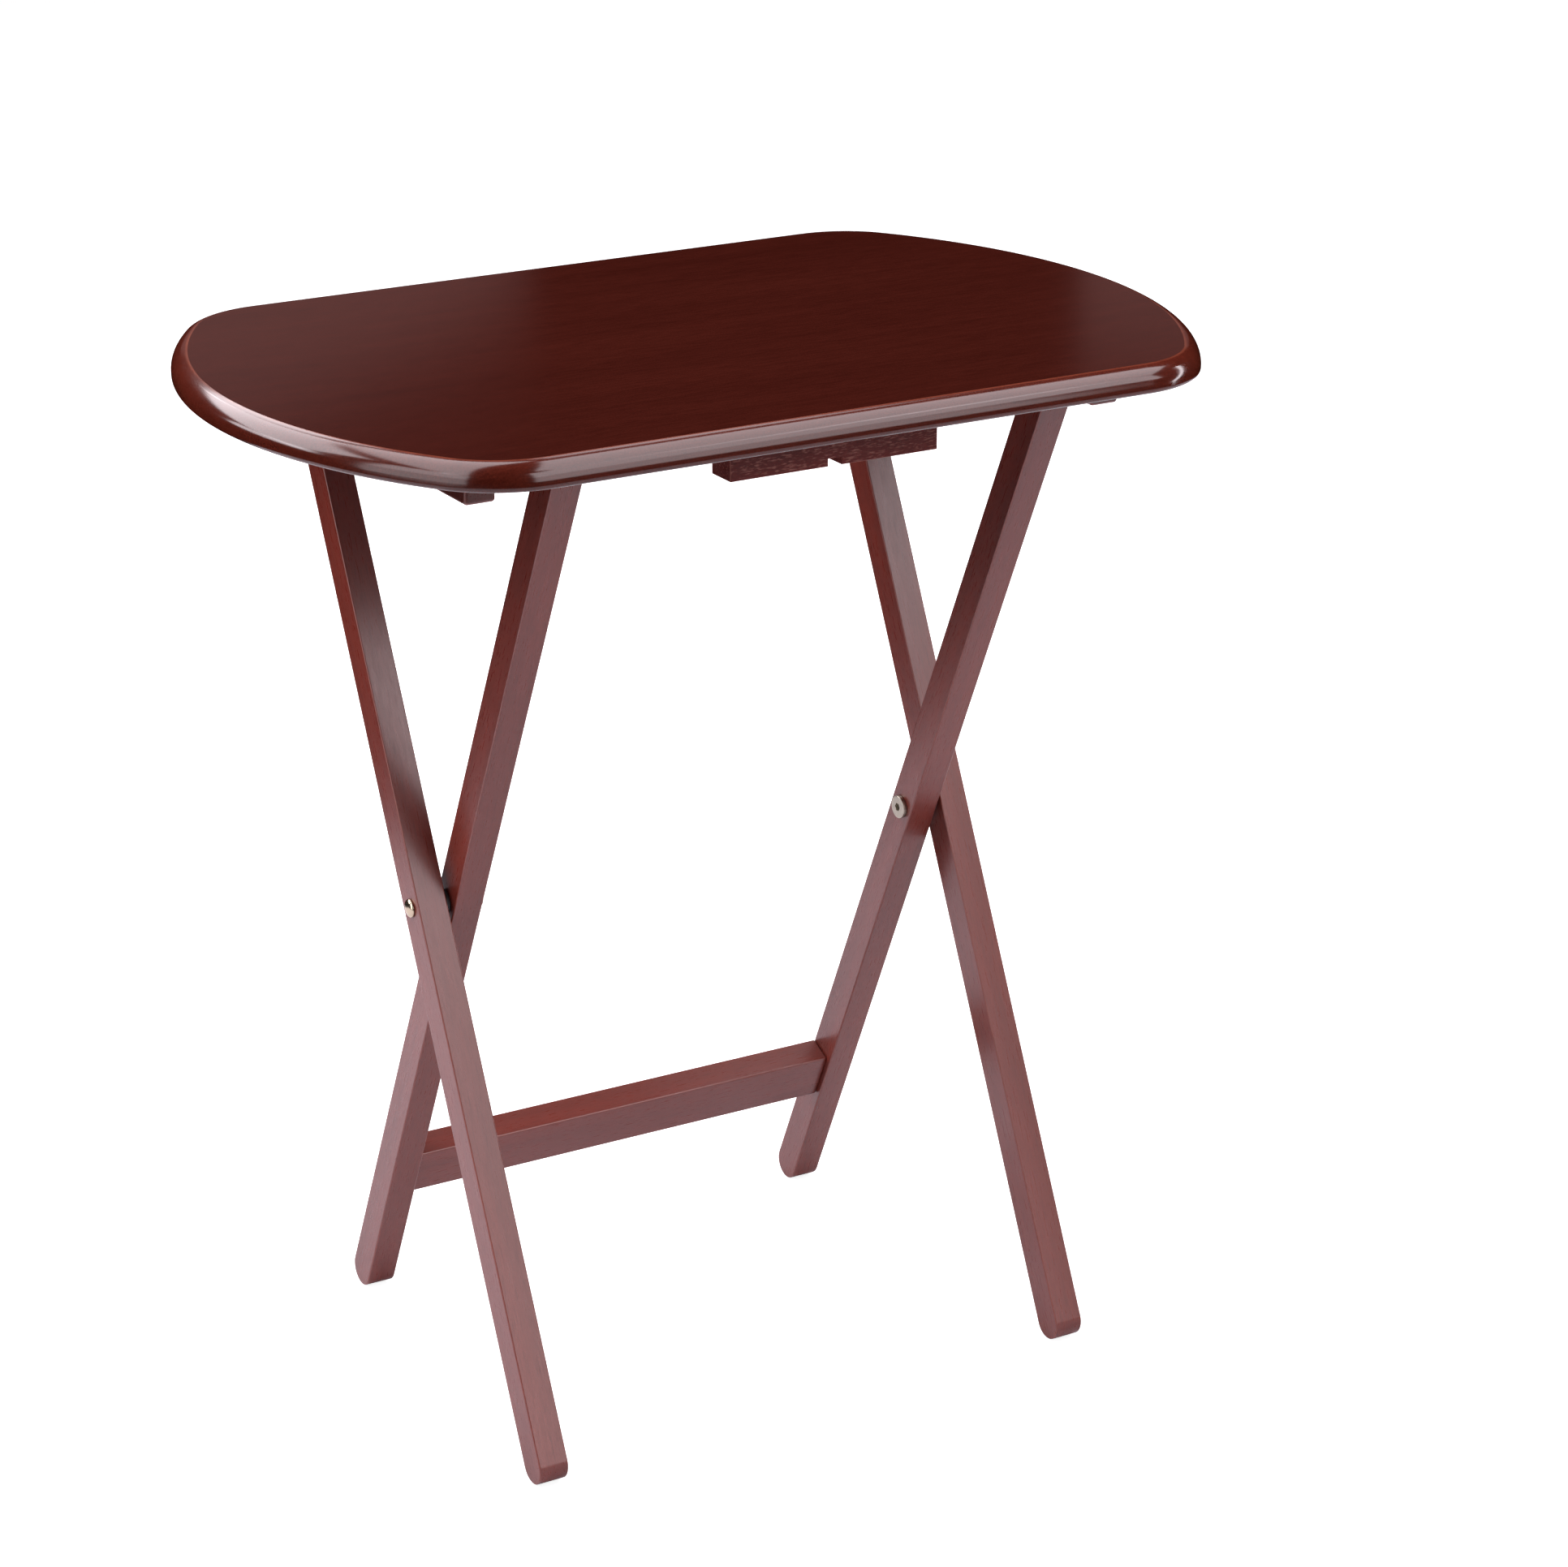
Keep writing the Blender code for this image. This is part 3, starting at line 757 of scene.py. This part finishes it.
def build_block():
    low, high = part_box("stop_block")
    centre = middle("stop_block")
    form = round_box("stop_block_form", high - low, BLOCK_EASE)
    piece = add("stop_block_wood", form, Matrix.Translation(centre), BLOCK_WOOD)
    notch = block("notch", (NOTCH[0], 2 * (high.y - low.y), 2 * NOTCH[1]))
    cut(piece, notch, Matrix.Translation((centre.x, centre.y, low.z)))
    for number in (1, 2):
        screw_clearance(piece, f"block_screw_{number}", low.z)
    show(piece, "stop_block", "top")


def screw_head_profile():
    """A countersunk head with its face at x = 0, and the neck above it."""
    neck = SCREW_RADIUS - SCREW_THREAD / 2
    rim = [(SCREW_HEAD_RADIUS, 0), (SCREW_HEAD_RADIUS, SCREW_HEAD_RIM)]
    return [(0, 0)] + rim + [(neck, SCREW_HEAD_HEIGHT), (neck, SCREW_NECK_END), (0, SCREW_NECK_END)]


def build_screws():
    """The countersunk wood screws, driven up through the cleats and the block into the top."""
    names = [f"cleat_screw_{label}_{number}" for label, _ in SIDES for number in (1, 2, 3)]
    for node in names + ["block_screw_1", "block_screw_2"]:
        low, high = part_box(node)
        place = upright(Vector((middle(node).x, middle(node).y, low.z)))
        head = lathe(node + "_form", screw_head_profile(), HOLE_SIDES)
        screw = add(node + "_steel", head, place, SCREW_ZINC)
        thread = screw_thread(high.z - low.z - SCREW_THREAD_START)
        cut(screw, thread, place @ Matrix.Translation((SCREW_THREAD_START, 0, 0)), "UNION")
        for turn in (0.0, math.pi / 2):
            recess = block("recess", (2 * CROSS_DEPTH, CROSS_WIDTH, CROSS_LENGTH))
            cut(screw, recess, place @ Matrix.Rotation(turn, 4, "X"))
        show(screw, node, "top")


def nut_profile(length):
    """A domed barrel nut: the dome outside x = 0, the barrel inwards, bored from its inner end."""
    bore = BOLT_RADIUS + GAP
    ease = METAL_EASE
    rim = GAP + DOME_RIM
    hole = [(0, -BARREL_WALL_END), (bore, -BARREL_WALL_END), (bore, ease - length)]
    end = [(bore + ease, -length), (BARREL_RADIUS - ease, -length), (BARREL_RADIUS, ease - length)]
    neck = [(BARREL_RADIUS, GAP), (DOME_RADIUS - ease / 2, GAP), (DOME_RADIUS, GAP + ease / 2)]
    dome = [(DOME_RADIUS * c, rim + DOME_HEIGHT * s) for s, c in quarter(DOME_STEPS)[:-1]]
    return hole + end + neck + dome + [(0, rim + DOME_HEIGHT)]


def bolt_profile(length):
    """A flat-headed bolt: the shank to +X, the head below x = 0 with a rounded rim."""
    ease = METAL_EASE
    face = -GAP - HEAD_THICK
    tip = [(0, length), (BOLT_RADIUS - ease, length), (BOLT_RADIUS, length - ease)]
    neck = [(BOLT_RADIUS, -GAP), (HEAD_RADIUS, -GAP)]
    turns = reversed(quarter(EASE_STEPS))
    rim = [(HEAD_RADIUS - ease * (1 - s), face + ease * (1 - c)) for s, c in turns]
    return tip + neck + rim + [(0, face)]


def build_nut(kind, body, pivot, label, side):
    """A barrel nut, its dome outside the outermost piece of its pivot."""
    low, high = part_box(f"{kind}_nut_{label}")
    crown = GAP + DOME_RIM + DOME_HEIGHT
    across = (high.x if side > 0 else low.x) - side * crown
    place = facing(side, Vector((across, pivot.y, pivot.z)))
    form = lathe(f"{kind}_nut_form", nut_profile(high.x - low.x - crown))
    nut = add(f"{kind}_nut_{label}_metal", form, place, NUT_NICKEL)
    show(nut, f"{kind}_nut_{label}", body, SHARP_ON_DOME)


def build_bolt(kind, body, pivot, label, side):
    """A bolt with a hexagon socket, its head inside the innermost piece of its pivot."""
    low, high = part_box(f"{kind}_bolt_{label}")
    head = GAP + HEAD_THICK
    across = (low.x if side > 0 else high.x) + side * head
    place = facing(side, Vector((across, pivot.y, pivot.z)))
    form = lathe(f"{kind}_bolt_form", bolt_profile(high.x - low.x - head))
    bolt = add(f"{kind}_bolt_{label}_metal", form, place, BOLT_NICKEL)
    socket = hexagon_bar("socket", HEX_ACROSS, HEX_DEPTH)
    cut(bolt, socket, place @ Matrix.Translation((-head, 0, 0)))
    show(bolt, f"{kind}_bolt_{label}", body)


def build_spacer(kind, body, pivot, label):
    node = f"{kind}_spacer_{label}"
    low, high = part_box(node)
    half = (high.x - low.x) / 2
    place = Matrix.Translation((middle(node).x, pivot.y, pivot.z))
    form = lathe(node + "_form", rod_profile(SPACER_RADIUS, half, METAL_EASE))
    ring = add(node + "_ring", form, place, SPACER_NYLON)
    drill(ring, place, BARREL_RADIUS, 2 * half)
    show(ring, node, body)


def build_pivots():
    for label, side in SIDES:
        for kind, body, pivot in (("scissor", "outer_frame", SCISSOR), ("top_pin", "top_pins", PIN)):
            build_nut(kind, body, pivot, label, side)
            build_bolt(kind, body, pivot, label, side)
            build_spacer(kind, body, pivot, label)


build_top()
build_legs()
build_stretcher()
build_dowel()
build_cleats()
build_block()
build_screws()
build_pivots()


# Floor, light and camera


def floor_material(name, white, glow):
    n = Nodes(name)
    n.set(Base_Color=(*white, 1), Roughness=0.9, Specular_IOR_Level=0.1)
    n.set(Emission_Color=(1, 1, 1, 1), Emission_Strength=glow)
    return n.material


def sheet(name, spans, z, finish):
    """A level rectangle."""
    (left, right), (front, back) = spans
    shape = bmesh.new()
    corners = ((left, front), (right, front), (right, back), (left, back))
    shape.faces.new([shape.verts.new((x, y, z)) for x, y in corners])
    return add(name, mesh_of(shape, name + "_form"), Matrix.Identity(4), finish)


def build_stage():
    """A floor that the camera sees, and the white sweep that the table reflects and is lit from."""
    paint = floor_material("pale_floor", FLOOR_WHITE, FLOOR_GLOW)
    floor = sheet("floor", FLOOR, -FLOOR_DROP, paint)
    floor.visible_glossy = False
    floor.visible_diffuse = False
    floor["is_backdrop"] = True
    paper = floor_material("white_sweep", SWEEP_WHITE, 0.0)
    sweep = sheet("sweep", SWEEP, -SWEEP_DROP, paper)
    sweep.visible_camera = False
    sweep.visible_shadow = False
    sweep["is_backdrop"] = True


def softbox(name, at, aim, size, radiance, turn, tint=LAMP_TINT):
    """A rectangular lamp of even radiance, turned about its own axis."""
    lamp = bpy.data.lights.new(name, "AREA")
    lamp.shape = "RECTANGLE"
    lamp.size, lamp.size_y = size
    lamp.energy = radiance * math.pi * size[0] * size[1]
    lamp.color = tint
    obj = bpy.data.objects.new(name, lamp)
    bpy.context.scene.collection.objects.link(obj)
    obj.location = at
    obj.rotation_mode = "QUATERNION"
    look = (Vector(aim) - Vector(at)).to_track_quat("-Z", "Y")
    obj.rotation_quaternion = look @ Matrix.Rotation(turn, 3, "Z").to_quaternion()
    return obj


def overhead(name, across, back, size, turn, radiance):
    """A lamp lying level over the top, its middle and size given as shares of its height over it."""
    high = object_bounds()[1][2] + LAMP_HEIGHT
    at = Vector((across * LAMP_HEIGHT, back * LAMP_HEIGHT, high))
    below = at - Vector((0, 0, 1))
    softbox(name, at, below, scaled(size, LAMP_HEIGHT), radiance, math.radians(turn))


def standing(name, azimuth, width, low, high, radiance, lean=0.0, tint=LAMP_TINT):
    """An upright lamp round the table.

    Its middle's azimuth from the front, its width, the heights of its edges over the level of the
    top and its lean are angles in degrees.
    """
    turn = math.radians(azimuth)
    flat = Vector((math.sin(turn), -math.cos(turn), 0))
    rises = [PANEL_DISTANCE * math.tan(math.radians(angle)) for angle in (low, high)]
    bottom, top = (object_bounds()[1][2] + rise for rise in rises)
    at = flat * PANEL_DISTANCE + Vector((0, 0, (bottom + top) / 2))
    size = (2 * PANEL_DISTANCE * math.tan(math.radians(width) / 2), top - bottom)
    return softbox(name, at, at - flat, size, radiance, math.radians(lean), tint)


def card(*settings, **options):
    """A standing lamp which only shows in the gloss and doesn't light the table."""
    standing(*settings, **options).visible_diffuse = False


def build_world():
    """A white surround that only the camera sees."""
    world = bpy.data.worlds.new("studio")
    bpy.context.scene.world = world
    world.use_nodes = True
    surround = world.node_tree.nodes["Background"]
    surround.inputs["Color"].default_value = (*SURROUND_WHITE, 1)
    surround.inputs["Strength"].default_value = 1.0
    world.cycles_visibility.glossy = False
    world.cycles_visibility.diffuse = False


def build_lamps():
    overhead("left_box", -0.66, 0.12, (1.97, 0.72), 36, 4.6)
    overhead("right_box", 0.61, -0.36, (0.74, 1.14), -10, 4.7)
    overhead("right_far_box", 0.61, 0.68, (0.24, 0.38), 0, 2.9)
    standing("back_left_panel", -143.8, 64.5, 18.4, 46.3, 6.2, lean=-15)
    standing("back_left_low_panel", -126.3, 29.5, 6.5, 14.5, 6.0)
    standing("back_panel", 178, 12.5, 22.5, 41, 5.2)
    card("left_panel", -78, 42, 14, 33, 4.3)
    card("left_low_panel", -78, 42, -14, 14, 2.8)
    standing("front_panel", 25, 47, 18, 43, 4.7)
    card("front_low_panel", 17.2, 32.5, -10, 18, 3.2)
    card("right_strip", 74, 5, -16, 34, 12.0, lean=-30)
    card("far_left_card", 166, 17, 2, 17, 0.21, lean=25, tint=CARD_TINT)
    card("far_right_card", 134, 12, 4, 15, 0.18, tint=CARD_TINT)


def build_camera():
    lens = bpy.data.cameras.new("view")
    lens.lens = LENS_MM
    camera = bpy.data.objects.new("view", lens)
    bpy.context.scene.collection.objects.link(camera)
    flat = math.cos(ELEVATION)
    back = Vector((math.sin(AZIMUTH) * flat, -math.cos(AZIMUTH) * flat, math.sin(ELEVATION)))
    camera.location = AIM + back * DISTANCE
    camera.rotation_mode = "QUATERNION"
    camera.rotation_quaternion = (-back).to_track_quat("-Z", "Y")
    bpy.context.scene.camera = camera


build_stage()
build_world()
build_lamps()
build_camera()
bpy.context.scene.view_settings.view_transform = "Standard"
